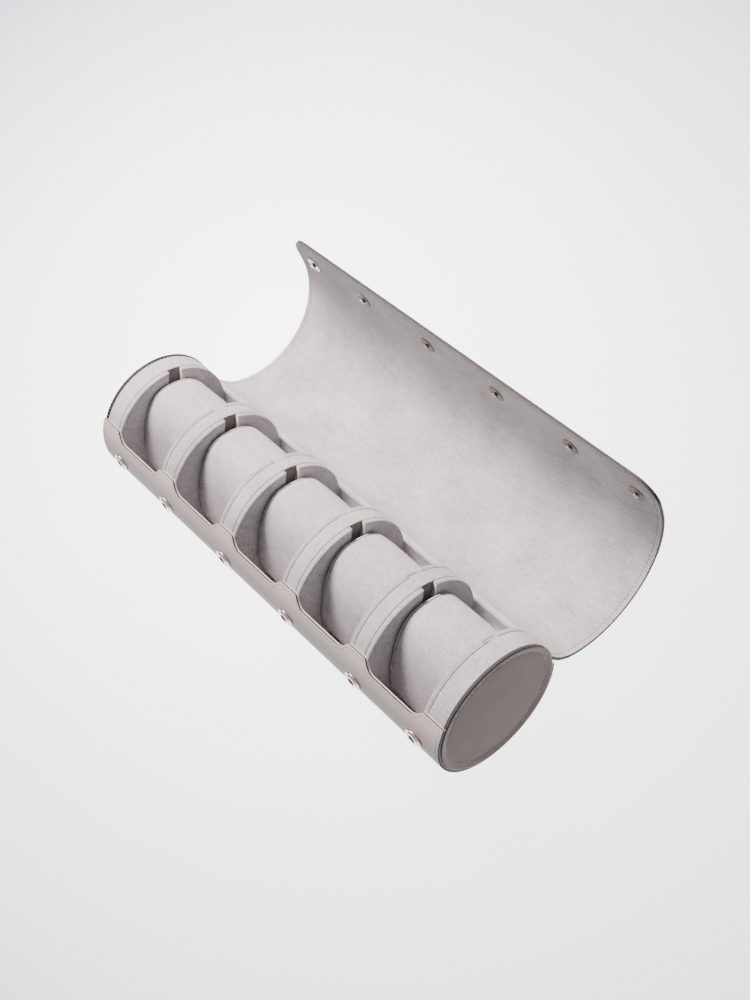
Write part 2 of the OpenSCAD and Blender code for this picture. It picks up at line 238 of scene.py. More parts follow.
def suede(name, base, nap_share, calm, where="Object"):
    """Goat suede, sanded on its flesh side: brushed marks, soft patches and a nap that catches light."""
    # Real nap is finer than a pixel, so its tufts and specks are drawn a little over 1 mm wide to show.
    made, tree = new_material(name)
    place = add(tree, "ShaderNodeTexCoord").outputs[where]
    patches = add(tree, "ShaderNodeTexNoise", {
        "Vector": place, "Scale": per_metre(34), "Detail": 2.0, "Roughness": 0.5,
    })
    slant = add(tree, "ShaderNodeMapping", {
        "Vector": place, "Rotation": (0.4, 0.2, 0.6), "Scale": (1.0, 2.2, 1.6),
    })
    brushed = add(tree, "ShaderNodeTexNoise", {
        "Vector": slant.outputs[0], "Scale": per_metre(9), "Detail": 5.0, "Roughness": 0.68,
        "Distortion": 0.8,
    })
    nap = add(tree, "ShaderNodeTexNoise", {
        "Vector": place, "Scale": per_metre(1.3), "Detail": 2.0, "Roughness": 0.7,
    })
    specks = add(tree, "ShaderNodeTexNoise", {"Vector": place, "Scale": per_metre(1.1), "Detail": 0.0})
    bright = add(tree, "ShaderNodeMapRange", {"Value": specks.outputs[0], "From Min": 0.6, "From Max": 0.75})
    dark = add(tree, "ShaderNodeMapRange", {"Value": specks.outputs[0], "From Min": 0.4, "From Max": 0.25})
    soft = add(tree, "ShaderNodeMath", {0: patches.outputs[0], 1: brushed.outputs[0]}, operation="ADD")
    mixed = add(tree, "ShaderNodeMath", {
        0: nap.outputs[0], 1: nap_share, 2: soft.outputs[0],
    }, operation="MULTIPLY_ADD")
    middle = 1 + nap_share / 2
    spread = add(tree, "ShaderNodeMapRange", {
        "Value": mixed.outputs[0], "From Min": middle - calm, "From Max": middle + calm,
    })
    shade = tinted(base, -0.38)
    for factor, share in ((spread, 0.2), (bright, 0.1), (dark, -0.22)):
        shade = add(tree, "ShaderNodeMix", {
            "Factor": factor.outputs[0], "A": shade, "B": tinted(base, share),
        }, data_type="RGBA").outputs["Result"]
    relief = add(tree, "ShaderNodeMath", {0: nap.outputs[0], 1: brushed.outputs[0]}, operation="ADD")
    bump = add(tree, "ShaderNodeBump", {"Height": relief.outputs[0], "Strength": 0.4, "Distance": 0.3 * MM})
    return surfaced(made, tree, {
        "Base Color": shade, "Roughness": 0.95, "Normal": bump.outputs[0],
        "Specular IOR Level": 0.15, "Sheen Weight": 0.12, "Sheen Roughness": 0.5,
    })


def calfskin(name, base, gloss, cloudy):
    """Calf leather, dyed and lightly finished: a satin face, a fine pebble grain and soft clouds of dye."""
    # Real pores are about 0.3 mm apart. They are drawn 0.8 mm apart to show.
    made, tree, place, clouds, shade = mottled(name, base, 26, 3, -cloudy, cloudy)
    pebble = add(tree, "ShaderNodeTexVoronoi", {"Vector": place, "Scale": per_metre(0.8), "Randomness": 1.0})
    rough = add(tree, "ShaderNodeMapRange", {"Value": clouds, "To Min": gloss - 0.05, "To Max": gloss + 0.05})
    bump = add(tree, "ShaderNodeBump", {
        "Height": pebble.outputs["Distance"], "Strength": 0.12, "Distance": 0.1 * MM,
    })
    return surfaced(made, tree, {
        "Base Color": shade, "Roughness": rough.outputs[0], "Normal": bump.outputs[0],
        "Specular IOR Level": 0.06,
    })


def edge_paint(name, base):
    """Edge paint, brushed on the leather's cut edge in thin coats: smooth, with slight ripples."""
    made, tree, _, ripple, shade = mottled(name, base, 3, 2, -0.12, 0.12)
    bump = add(tree, "ShaderNodeBump", {"Height": ripple, "Strength": 0.3, "Distance": 0.1 * MM})
    return surfaced(made, tree, {
        "Base Color": shade, "Roughness": 0.6, "Normal": bump.outputs[0], "Specular IOR Level": 0.15,
    })


def polyester_thread(name, base):
    """Bonded polyester thread: its twist shows as a fine change of tone, half a millimetre long."""
    made, tree, _, _, shade = mottled(name, base, 0.5, 1, -0.2, 0.2)
    return surfaced(made, tree, {"Base Color": shade, "Roughness": 0.6, "Sheen Weight": 0.2})


def plated_nickel(name, base):
    """Brass plated with nickel and tumbled: soft warm reflections with faint wear."""
    made, tree, _, wear, shade = mottled(name, base, 1.5, 3, -0.08, 0.04)
    rough = add(tree, "ShaderNodeMapRange", {"Value": wear, "To Min": 0.2, "To Max": 0.42})
    return surfaced(made, tree, {"Base Color": shade, "Metallic": 1.0, "Roughness": rough.outputs[0]})


MATERIALS = {}


def make_materials(colours):
    MATERIALS.update({
        "leather": calfskin("calf leather, warm grey", colours.leather, 0.5, 0.06),
        # The rolled rim's leather is the end leather painted much lighter: painted light on a rim that sits
        # in shade.
        "rim_leather_painted_light": calfskin("calf leather, rolled rim, painted lighter", tinted(colours.end_leather, 0.95), 0.5, 0.15),
        "end_leather": calfskin("calf leather, dark taupe", colours.end_leather, 0.45, 0.35),
        "suede": suede("goat suede, light grey", colours.suede, 0.5, 0.4),
        # The plates' suede is the suede painted darker: painted shade on the plates' faces that turn from the
        # light.
        "plate": suede("goat suede, plates, painted shade", tinted(colours.suede, -0.12), 0.5, 0.4),
        # The lining's suede is the suede painted much lighter: painted light that lifts the shade on the
        # strip of lining behind the cushions.
        "lining": suede("goat suede, lining, painted light", tinted(colours.suede, 0.6), 0.5, 0.45, "UV"),
        "flap_suede": suede("goat suede, light grey, flap", colours.suede, 0.9, 0.36, "UV"),
        "cushion": suede("goat suede, cushion grey", colours.cushion, 0.35, 0.44),
        # The slot suede is painted shade for the slot floors and the seam grooves.
        "slot": suede("goat suede, painted shade in slots and seams", colours.slot, 0.5, 0.4),
        "pale_thread": polyester_thread("polyester thread, pale taupe", colours.end_thread),
        "paint": edge_paint("edge paint, grey brown", colours.paint),
        "cut": edge_paint("cut suede edge", tinted(colours.suede, 0.08)),
        # Grey thread, darkened: its own colour and the painted shade of the stitch holes.
        "thread": polyester_thread("polyester thread, grey, darkened as painted shade", colours.thread),
        "nickel": plated_nickel("nickel plate, warm", colours.nickel),
        # The studs' flanges take the nickel painted darker: painted shade that dims their reflections.
        "stud_nickel": plated_nickel("nickel plate, painted darker", colours.stud),
    })


def mesh_of(bm, name):
    mesh = bpy.data.meshes.new(name)
    bm.to_mesh(mesh)
    bm.free()
    return mesh


def put(name, data):
    """Puts a new object in the scene."""
    made = bpy.data.objects.new(name, data)
    bpy.context.scene.collection.objects.link(made)
    return made


def new_piece(name, bm, finishes, replaced, body=None):
    """Makes a finished piece of a bmesh, in place, with its finishes in the order of its faces' indices."""
    mesh = mesh_of(bm, name)
    for finish in finishes:
        mesh.materials.append(MATERIALS[finish])
    mesh.shade_smooth()
    piece = put(name, mesh)
    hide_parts(*replaced)
    if body:
        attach(piece, body)
    return piece


def polar(x, radius, degrees):
    """A point by its distance from the roll's axis and its angle round it."""
    turn = math.radians(degrees)
    return Vector((x, AXIS.y + radius * math.cos(turn), AXIS.z + radius * math.sin(turn)))


def on_axis(x):
    return Matrix.Translation((x, AXIS.y, AXIS.z))


def off_axis(face):
    """Distance of a face's middle from the roll's axis."""
    middle = face.calc_center_median()
    return math.hypot(middle.y - AXIS.y, middle.z - AXIS.z)


def steps(low, high, size):
    """Even steps of about a size from low to high, both kept."""
    count = max(1, round((high - low) / size))
    return [low + (high - low) * k / count for k in range(count + 1)]


def stepped(*stops):
    """Steps along a line: each stop is a place and the step size up to the next one."""
    line = [stops[0][0]]
    for (low, size), (high, _) in zip(stops, stops[1:]):
        line += steps(low, high, size)[1:]
    return line


def fresh(bm, before):
    return [vert for vert in bm.verts if vert not in before]


def verts_in(geom):
    return [item for item in geom if isinstance(item, bmesh.types.BMVert)]


def faces_of(verts):
    return list({face for vert in verts for face in vert.link_faces})


def soften(bm, edges, size, count):
    """Rounds edges to a size, in a count of steps."""
    bmesh.ops.bevel(
        bm, geom=edges, offset=size, segments=count, profile=0.5, affect="EDGES", clamp_overlap=True,
        material=-1,
    )


def spin_round(bm, verts, axis, count):
    """Joins vertices into a line and spins it once round an axis."""
    edges = [bm.edges.new(pair) for pair in zip(verts, verts[1:])]
    bmesh.ops.spin(
        bm, geom=verts + edges, cent=(0, 0, 0), axis=axis, angle=math.tau, steps=count, use_merge=True,
    )


RIM = 1


def ply(across, along, place, flat, ends, size):
    """A sheet with thickness: place(u, v, side) puts each point, on side 0 or 1, and flat(u, v) maps it.

    Its rim is rounded to a size, and left plain and crisp at the ends that meet a neighbour.
    """
    bm = bmesh.new()
    bmesh.ops.create_grid(bm, x_segments=len(across) - 1, y_segments=len(along) - 1, size=0.5)
    u_layer, v_layer, side_layer = [bm.verts.layers.float.new(name) for name in ("u", "v", "side")]
    uv_layer = bm.loops.layers.uv.new("UVMap")
    for vert in bm.verts:
        vert[u_layer] = across[round((vert.co.x + 0.5) * (len(across) - 1))]
        vert[v_layer] = along[round((vert.co.y + 0.5) * (len(along) - 1))]
    far = bmesh.ops.extrude_face_region(bm, geom=bm.faces[:], use_keep_orig=True)
    for vert in verts_in(far["geom"]):
        vert[side_layer] = 1
    for vert in bm.verts:
        vert.co = place(vert[u_layer], vert[v_layer], vert[side_layer])
    for face in bm.faces:
        if len({vert[side_layer] for vert in face.verts}) > 1:
            face.material_index = RIM
        for loop in face.loops:
            loop[uv_layer].uv = flat(loop.vert[u_layer], loop.vert[v_layer])
    bmesh.ops.recalc_face_normals(bm, faces=bm.faces[:])
    for face in bm.faces:
        places = {round(vert[v_layer], 7) for vert in face.verts}
        if face.material_index == RIM and len(places) == 1 and places <= {round(end, 7) for end in ends}:
            face.material_index = 0
            for edge in face.edges:
                edge.smooth = False
    edges = [
        edge for edge in bm.edges
        if len({face.material_index == RIM for face in edge.link_faces}) > 1
    ]
    soften(bm, edges, size, 2)
    return bm


STITCH_SHARE = 0.78
STITCH_FLAT = 0.6
STITCH_SLANT = Matrix.Rotation(math.radians(8), 4, "Z")


def one_stitch(finish):
    """A stitch of unit size that lies along X."""
    bm = bmesh.new()
    bmesh.ops.create_uvsphere(bm, u_segments=8, v_segments=5, radius=1, matrix=LAID)
    for face in bm.faces:
        face.material_index = finish
        face.smooth = True
    return mesh_of(bm, "stitch")


def sew(bm, line, finish):
    """Sews stitches on a line of (point, outward normal) pairs, evenly spaced."""
    sizes = sized()
    stitch = one_stitch(finish)
    reach = [0]
    for (here, _), (there, _) in zip(line, line[1:]):
        reach.append(reach[-1] + (there - here).length)
    count = max(1, int(reach[-1] / sizes.stitch_pitch))
    pitch = reach[-1] / count
    size = Matrix.Diagonal((
        STITCH_SHARE / 2 * pitch, sizes.thread_w / 2, sizes.thread_w / 2 * STITCH_FLAT, 1,
    ))
    k = 0
    for number in range(count):
        middle = (number + 0.5) * pitch
        while reach[k + 1] < middle and k < len(reach) - 2:
            k += 1
        share = (middle - reach[k]) / max(reach[k + 1] - reach[k], 1e-9)
        here, out = line[k]
        there, _ = line[k + 1]
        run = (there - here).normalized()
        side = out.cross(run).normalized()
        turn = Matrix((run, side, run.cross(side))).transposed().to_4x4()
        place = Matrix.Translation(here.lerp(there, share)) @ turn @ STITCH_SLANT @ size
        stitch.transform(place)
        bm.from_mesh(stitch)
        stitch.transform(place.inverted())
    bpy.data.meshes.remove(stitch)


def turned(bm, profile, place, count, finish=0):
    """Spins a profile of (radius, height) pairs round +Z and puts it in place."""
    before = set(bm.verts)
    verts = [bmesh.ops.create_vert(bm, co=(radius, 0, height))["vert"][0] for radius, height in profile]
    spin_round(bm, verts, (0, 0, 1), count)
    bmesh.ops.remove_doubles(bm, verts=fresh(bm, before), dist=0.001 * MM)
    made = fresh(bm, before)
    faces = faces_of(made)
    bmesh.ops.recalc_face_normals(bm, faces=faces)
    bmesh.ops.transform(bm, matrix=place, verts=made)
    for face in faces:
        face.material_index = finish


def rounded(corners, radii, count):
    """A profile given in millimetres, whose corners are rounded, each by its own radius."""
    corners = [Vector((radius * MM, height * MM)) for radius, height in corners]
    line = []
    for k, (corner, radius) in enumerate(zip(corners, radii)):
        if radius == 0 or k in (0, len(corners) - 1):
            line.append(tuple(corner))
            continue
        back = (corners[k - 1] - corner).normalized()
        on = (corners[k + 1] - corner).normalized()
        half = back.angle(on) / 2
        reach = radius * MM / math.tan(half)
        start, stop = corner + back * reach, corner + on * reach
        middle = corner + (back + on).normalized() * (radius * MM / math.sin(half))
        sweep = (start - middle).angle_signed(stop - middle)
        for step in range(count + 1):
            spoke = (start - middle).copy()
            spoke.rotate(Matrix.Rotation(-sweep * step / count, 2))
            line.append(tuple(middle + spoke))
    return line


def lip_rise(x):
    """Height of the front lip above the bottom of its dips."""
    foot = (SEAT_PITCH - TAB_W) / 2 - DIP_SLANT
    reach = min(abs(x - seat) for seat in SEAT_X)
    slope = DIP_D / DIP_SLANT
    soft, crisp = 3.2 * MM, 0.7 * MM

    def kink(at, width):
        past = min(max(reach - at + width, 0), 2 * width)
        return slope * (past * past / (4 * width) + max(reach - at - width, 0))

    return kink(foot, soft) - kink(foot + DIP_SLANT, crisp)


def lip_angle(x):
    """Angle of the front lip, which climbs from its dips to its tabs."""
    dip = TAB_ANGLE + math.degrees(math.asin(DIP_D / SHELL_R))
    return dip - math.degrees(math.asin(lip_rise(x) / SHELL_R))


def groove(distance, at, width, depth):
    """Depth of the soft groove that a stitch line presses into a sheet."""
    return depth * math.exp(-(((distance - at) / width) ** 2))


class ROLL_OT_shell(bpy.types.Operator):
    """Wraps the leather shell and its lining, with the lip's tabs and dips"""

    bl_idname = "watch_roll.shell"
    bl_label = "Shell"

    PLAIN_ROWS = 46

    def execute(self, context):
        sizes = sized()
        half, inset = SHELL_HALF, sizes.lip_inset
        top = math.radians(TAB_ANGLE) * SHELL_R
        bottom = math.radians(BACK_ANGLE) * SHELL_R
        outline = [(x, math.radians(lip_angle(x)) * SHELL_R) for x in steps(-half, half, 0.25 * MM)]
        for arc in steps(top, bottom, 0.5 * MM):
            outline += [(-half, arc), (half, arc)]
        tree = kdtree.KDTree(len(outline))
        for number, (x, arc) in enumerate(outline):
            tree.insert((x, arc, 0), number)
        tree.balance()

        # Rows of the sheet follow the lip closely near it, and then even out towards the back edge.
        near = stepped((0, 0.35 * MM), (5 * MM, 1 * MM), (10 * MM, 1 * MM))
        along = list(range(len(near) + self.PLAIN_ROWS))
        across = stepped((-half, 0.4 * MM), (-half + 5 * MM, 1 * MM), (half - 5 * MM, 0.4 * MM), (half, 1))

        def arc_at(x, row):
            row = round(row)
            lip = math.radians(lip_angle(x)) * SHELL_R
            if row < len(near):
                return lip + near[row]
            share = (row - len(near) + 1) / self.PLAIN_ROWS
            return lip + near[-1] + (bottom - lip - near[-1]) * share

        def flat(x, row):
            return x, -arc_at(x, row)

        def outside(x, row, side):
            arc = arc_at(x, row)
            distance = tree.find((x, arc, 0))[2]
            dent = groove(distance, inset, 0.3 * MM, 0.08 * MM)
            return polar(x, SHELL_R - dent if side == 0 else LEATHER_IN, math.degrees(arc / SHELL_R))

        def inside(x, row, side):
            arc = arc_at(x, row)
            if row < len(near):
                arc += 0.35 * MM * (1 - row / len(near))
            return polar(x, LEATHER_IN if side == 0 else RIB_R, math.degrees(arc / SHELL_R))

        bm = ply(across, along, outside, flat, along[-1:], sizes.edge_round)
        line = []
        for x in steps(-half + inset, half - inset, 0.5 * MM):
            slope = (lip_rise(x + 0.1 * MM) - lip_rise(x - 0.1 * MM)) / (0.2 * MM)
            reach = min(inset * math.hypot(1, slope), inset * 1.15)
            line.append(self.stitch_at(x, lip_angle(x) + math.degrees(reach / SHELL_R)))
        sew(bm, line, 2)
        for x in (-half + inset, half - inset):
            arcs = steps(top + inset, bottom - 1 * MM, 1 * MM)
            sew(bm, [self.stitch_at(x, math.degrees(arc / SHELL_R)) for arc in arcs], 2)
        new_piece(
            "shell_outer_leather", bm, ["leather", "paint", "thread"], ["shell_leather"], "body",
        )

        # The lining takes the lightened lining suede, painted light.
        bm = ply(across, along, inside, flat, along[-1:], 0.2 * MM)
        new_piece(
            "shell_suede_lining", bm, ["lining", "cut"], ["shell_lining", "shell_board"], "body",
        )
        return {"FINISHED"}

    def stitch_at(self, x, degrees):
        """A place for a stitch on the shell, and the way out from it."""
        spot = polar(x, SHELL_R - 0.1 * MM, degrees)
        return spot, (spot - Vector((x, AXIS.y, AXIS.z))).normalized()


class ROLL_OT_ends(bpy.types.Operator):
    """Makes the two leather end discs with their rolled, stitched rims"""

    bl_idname = "watch_roll.ends"
    bl_label = "End discs"

    def execute(self, context):
        face_x = SHELL_HALF - DISC_X
        rim_x = RIM_X - DISC_X
        seam_r = RIB_R - 3.5 * MM

        def run(radius, height, *points):
            """Points of the profile, in millimetres from a radius and a height."""
            return [(radius + out * MM, height + up * MM) for out, up in points]

        # The face sinks into the stitched seam, and the rim rolls up from it, over the edge and back in.
        profile = [
            *run(0, face_x, (0, -0.1), (12, -0.1), (25, -0.12)),
            *run(
                seam_r, face_x,
                (-3, -0.1), (-1.6, -0.12), (-1, -0.2), (-0.6, -0.28), (-0.2, -0.2), (0.3, 0),
            ),
            *run(seam_r, rim_x, (0.9, -0.6), (1.6, -0.25), (2.3, -0.06), (2.9, 0), (3.3, -0.05)),
            *run(RIB_R, rim_x, (0.15, -0.2), (0.4, -0.45), (0.5, -0.8)),
            *run(RIB_R, face_x, (0.5, 0.15)),
            *run(RIB_R, 0, (0.45, 0), (0.4, -0.5), (0.15, -0.7), (-0.3, -0.6), (-0.3, 0)),
            (0, 0),
        ]
        for name, side in ENDS:
            bm = bmesh.new()
            turned(bm, profile, on_axis(side * DISC_X) @ Matrix.Rotation(side * QUARTER, 4, "Y"), 144)
            # Past the seam, the rolled rim takes the end leather painted lighter, as painted light, and the
            # rest takes edge paint.
            for face in bm.faces:
                reach = off_axis(face)
                if reach > seam_r:
                    rolled = reach < RIB_R + 0.25 * MM and abs(face.calc_center_median().x) > DISC_X
                    face.material_index = 2 if rolled else 3
            seam_x = side * (DISC_X + face_x - 0.12 * MM)
            out = Vector((side, 0, 0))
            sew(bm, [(polar(seam_x, seam_r - 0.6 * MM, degrees), out) for degrees in steps(0, 360, 1.5)], 1)
            new_piece(
                f"{name}_end_leather", bm, ["end_leather", "pale_thread", "rim_leather_painted_light", "paint"],
                [f"{name}_end_disc"], "body",
            )
        return {"FINISHED"}


class ROLL_OT_ribs(bpy.types.Operator):
    """Makes the suede ribs: their bands and their padded plates with an open slot"""

    bl_idname = "watch_roll.ribs"
    bl_label = "Ribs"

    def execute(self, context):
        for k, x in enumerate(DIVIDER_X, 1):
            low, high = x - BAND_W / 2, x + BAND_W / 2
            nodes = [f"divider_band_{k}", f"divider_core_{k}"]
            self.band(f"divider_{k}_suede_band", low, high, nodes, (True, True))
            bm = bmesh.new()
            self.plate(bm, high, 1)
            self.plate(bm, low, -1)
            # The padded plates take the plate suede, darkened as painted shade.
            new_piece(f"divider_{k}_padded_plates", bm, ["plate"], [f"divider_plates_{k}"], "body")
        for name, side in ENDS:
            low, high = sorted((side * END_BAND_X, side * DISC_X))
            nodes = [f"{name}_end_band", f"{name}_end_core"]
            self.band(f"{name}_end_suede_band", low, high, nodes, (side > 0, side < 0))
            bm = bmesh.new()
            self.plate(bm, side * END_BAND_X, -side)
            # The end plate takes the plate suede, darkened as painted shade.
            new_piece(f"{name}_end_padded_plate", bm, ["plate"], [f"{name}_end_plate"], "body")
        return {"FINISHED"}

    def band(self, name, low, high, nodes, sewn):
        """A drum covered in suede, drawn in on each side that has a plate sewn to it."""
        sizes = sized()
        drawn, deep = sizes.seam_w / 2, sizes.seam_d
        width = high - low
        tuck = [(RIB_R - deep, 0), (RIB_R - deep * 0.35, drawn * 0.45), (RIB_R - deep * 0.1, drawn)]
        start, stop = [tuck if seam else [(RIB_R, 0)] for seam in sewn]
        crown = [
            (RIB_R + 0.12 * MM * (1 - (2 * step - 1) ** 2), step * width)
            for step in steps(0.08, 0.92, 0.12)
        ]
        stop = [(radius, width - place) for radius, place in reversed(stop)]
        bm = bmesh.new()
        profile = [(0, 0), *start, *crown, *stop, (0, width)]
        turned(bm, profile, on_axis(low) @ LAID, 160)
        # Faces below the band's crown, on its sides seen through the slots and in the tucks where plates are
        # sewn, take the slot suede as painted shade.
        for face in bm.faces:
            if off_axis(face) < RIB_R - 0.05 * MM:
                face.material_index = 1
        new_piece(name, bm, ["suede", "slot"], nodes, "body")

    def plate(self, bm, x, side):
        """A padded plate on one side of a rib, its slot open at the rim."""
        sizes = sized()
        before = set(bm.verts)
        half = SLOT_W / 2
        rim = math.sqrt(RIB_R ** 2 - half ** 2)
        mouth = 2 * math.degrees(math.asin(half / RIB_R))
        around = bmesh.ops.create_vert(bm, co=(rim, half, 0))["vert"][0]
        bmesh.ops.spin(
            bm, geom=[around], cent=(0, 0, 0), axis=(0, 0, 1), angle=math.radians(360 - mouth), steps=120,
        )
        floor = bmesh.ops.create_vert(bm, co=(half - SLOT_FLOOR, half, 0))["vert"][0]
        bmesh.ops.spin(
            bm, geom=[floor], cent=(half - SLOT_FLOOR, 0, 0), axis=(0, 0, 1), angle=math.pi, steps=16,
        )
        made = fresh(bm, before)
        ends = [vert for vert in made if len(vert.link_edges) == 1]
        for wall in (1, -1):
            bm.edges.new([vert for vert in ends if vert.co.y * wall > 0])
        edges = list({edge for vert in made for edge in vert.link_edges})
        base = bmesh.ops.contextual_create(bm, geom=edges)["faces"]
        grown = bmesh.ops.extrude_face_region(bm, geom=base, use_keep_orig=True)["geom"]
        bmesh.ops.translate(bm, vec=(0, 0, PLATE_T), verts=verts_in(grown))
        bmesh.ops.recalc_face_normals(bm, faces=faces_of(fresh(bm, before)))

        def broad_face(pick):
            """The plate's broad back or front, picked by min or max."""
            broad = [face for face in faces_of(fresh(bm, before)) if len(face.verts) > 10]
            return pick(broad, key=lambda face: face.calc_center_median().z)

        for pick, size, count in ((min, sizes.seam_w / 2, 2), (max, sizes.plate_round, 5)):
            soften(bm, list(broad_face(pick).edges), size, count)
        bmesh.ops.inset_region(bm, faces=[broad_face(max)], thickness=0.6 * MM, depth=0.02 * MM)
        made = fresh(bm, before)
        bmesh.ops.triangulate(bm, faces=[face for face in faces_of(made) if len(face.verts) > 4])
        turn = LAID @ Matrix.Rotation(QUARTER, 4, "Z")
        if side < 0:
            turn = Matrix.Diagonal((-1, 1, 1, 1)) @ turn
        bmesh.ops.transform(bm, matrix=on_axis(x) @ LEAN @ turn, verts=made)
        bmesh.ops.recalc_face_normals(bm, faces=faces_of(made))


OVAL_LONG = 36.5 * MM
OVAL_WIDE = 25.4 * MM
OVAL_POWER = 2.65
CUSHION_HALF = 21.95 * MM
CUSHION_EDGE = 1.5 * MM
CROWN = 1.1 * MM
SLACK = 0.006
SWELL_LOW = -0.5 * MM
SWELL_HIGH = 1 * MM


def oval(radians, inset):
    """A point of the cushion's oval, drawn in by inset."""
    c, s = math.cos(radians), math.sin(radians)
    share = 2 / OVAL_POWER
    long = (OVAL_LONG - inset) * math.copysign(abs(c) ** share, c)
    wide = (OVAL_WIDE - inset) * math.copysign(abs(s) ** share, s)
    return long, wide


class ROLL_OT_cushions(bpy.types.Operator):
    """Makes the five suede cushions with their end seams and keys"""

    bl_idname = "watch_roll.cushions"
    bl_label = "Cushions"

    def execute(self, context):
        give = self.blown(context)
        for k, x in enumerate(SEAT_X):
            piece = self.cover(k, x, give)
            keys = NODES[f"cushion_keys_{k + 1}"].data.materials
            keys.clear()
            keys.append(MATERIALS["cushion"])
        return {"FINISHED"}

    def blown(self, context):
        """Blows up a plain cushion as cloth and gives its surface, to shape the sewn ones by."""
        bm = bmesh.new()
        bmesh.ops.create_cone(bm, cap_ends=True, segments=96, radius1=1, radius2=1, depth=1, matrix=LAID)
        sides = [edge for edge in bm.edges if abs(edge.verts[0].co.x - edge.verts[1].co.x) > 0.5]
        bmesh.ops.subdivide_edges(bm, edges=sides, cuts=8)
        for vert in bm.verts:
            around = math.atan2(vert.co.z, vert.co.y)
            place = vert.co.x * 2 * (CUSHION_HALF - 0.5 * MM)
            vert.co = Vector((place, *oval(around, CROWN * (place / CUSHION_HALF) ** 2 + 0.5 * MM)))
        pad = put("blown cushion", mesh_of(bm, "blown cushion"))
        remesh = pad.modifiers.new("remesh", "REMESH")
        remesh.mode = "VOXEL"
        remesh.voxel_size = 4 * MM
        cloth = pad.modifiers.new("cloth", "CLOTH")
        cloth.settings.use_pressure = True
        cloth.settings.uniform_pressure_force = 4
        cloth.settings.effector_weights.gravity = 0
        cloth.point_cache.frame_start = 1
        cloth.point_cache.frame_end = 20
        for number in range(1, 21):
            context.scene.frame_set(number)
        graph = context.evaluated_depsgraph_get()
        give = BVHTree.FromObject(pad.evaluated_get(graph), graph)
        context.scene.frame_set(1)
        bpy.data.objects.remove(pad)
        return give

    def profile(self, seam):
        """Rows of a cushion from its right end to its left: place, inset of the oval, and share of it."""
        end, edge = CUSHION_HALF, CUSHION_EDGE
        flat = ((0.3, 0), (0.3, 0.12), (0.3, 0.3), (0.3, 0.5), (0.3, 0.7), (0.26, 0.82), (0.16, 0.9))
        rows = [(end + proud * MM, CROWN + edge, share) for proud, share in flat]
        for step in range(7):
            turn = math.radians(90 * step / 6)
            rows.append((end - edge * (1 - math.cos(turn)), CROWN + edge * (1 - math.sin(turn)), 1))
        for shift, deep in ((0.35, 0.05), (0.2, 0.4), (0, 0.6), (-0.2, 0.4), (-0.38, 0.02), (-0.7, -0.08)):
            rows.append((seam + (shift - 0.3) * MM, CROWN + deep * MM, 1))
        side = rows[-1][0] - 0.9 * MM
        rows += [(side - step, CROWN * ((side - step) / end) ** 2, 1) for step in steps(0, side, 1.8 * MM)]
        return rows + [(-place, inset, share) for place, inset, share in reversed(rows[:-1])]

    def cover(self, k, x, give):
        """One sewn cover: its seams, its slack, and the swell of the blown cushion."""
        seam = CUSHION_HALF - CUSHION_EDGE - 0.15 * MM
        reach = seam - 1 * MM
        profile = self.profile(seam)
        bm = bmesh.new()
        layer = bm.verts.layers.int.new("ring")
        verts = [
            bmesh.ops.create_vert(bm, co=(place, share * 10 * MM, 0))["vert"][0]
            for place, _, share in profile
        ]
        for number, vert in enumerate(verts):
            vert[layer] = number
        spin_round(bm, verts, (1, 0, 0), 128)
        bmesh.ops.remove_doubles(bm, verts=bm.verts[:], dist=0.0001 * MM)
        for vert in bm.verts:
            place, inset, share = profile[vert[layer]]
            long, wide = [size * share for size in oval(math.atan2(vert.co.z, vert.co.y), inset)]
            ripple = noise.noise(Vector((place * 60, long * 45, wide * 45)) + Vector((k * 7.3, 0, 0)))
            slack = 1 + SLACK * ripple
            vert.co = Vector((place, long * slack, wide * slack))
            if give and share == 1 and abs(place) < reach:
                out = Vector((0, long, wide)).normalized()
                hit = give.ray_cast(vert.co + out * 8 * MM, -out)[0]
                if hit:
                    swell = min(max((hit - vert.co).dot(out), SWELL_LOW), SWELL_HIGH)
                    vert.co += out * swell * math.cos(math.pi / 2 * place / reach)
        bmesh.ops.recalc_face_normals(bm, faces=bm.faces[:])
        # Faces in the end seams' grooves take the slot suede, painted shade in the crease.
        for face in bm.faces:
            if abs(abs(face.calc_center_median().x) - seam + 0.3 * MM) < 0.22 * MM:
                face.material_index = 1
        bmesh.ops.transform(bm, matrix=on_axis(x) @ LEAN, verts=bm.verts[:])
        return new_piece(
            f"cushion_{k + 1}_suede_cover", bm, ["cushion", "slot"],
            [f"cushion_cover_{k + 1}", f"cushion_core_{k + 1}"], f"cushion_{k + 1}",
        )


WALK_STEPS = 480


def heading(s):
    """Heading of the flap at a distance from the fold, in degrees."""
    angle = FLAP_HEADING
    for turn, run in FLAP_ZONES:
        angle += turn * min(max(s / run, 0), 1)
        s -= run
    return angle


def toward(degrees):
    turn = math.radians(degrees)
    return Vector((0, math.cos(turn), math.sin(turn)))


def walk_flap():
    """The suede side of the flap, by short steps from the fold."""
    step = FLAP_LEN / WALK_STEPS
    place = FOLD + FLAP_T * toward(FLAP_HEADING + 90) + 0.2 * MM * toward(FLAP_HEADING)
    line = [place.copy()]
    for k in range(WALK_STEPS):
        place = place + step * toward(heading((k + 0.5) * step))
        line.append(place.copy())
    return line


FLAP_LINE = walk_flap()


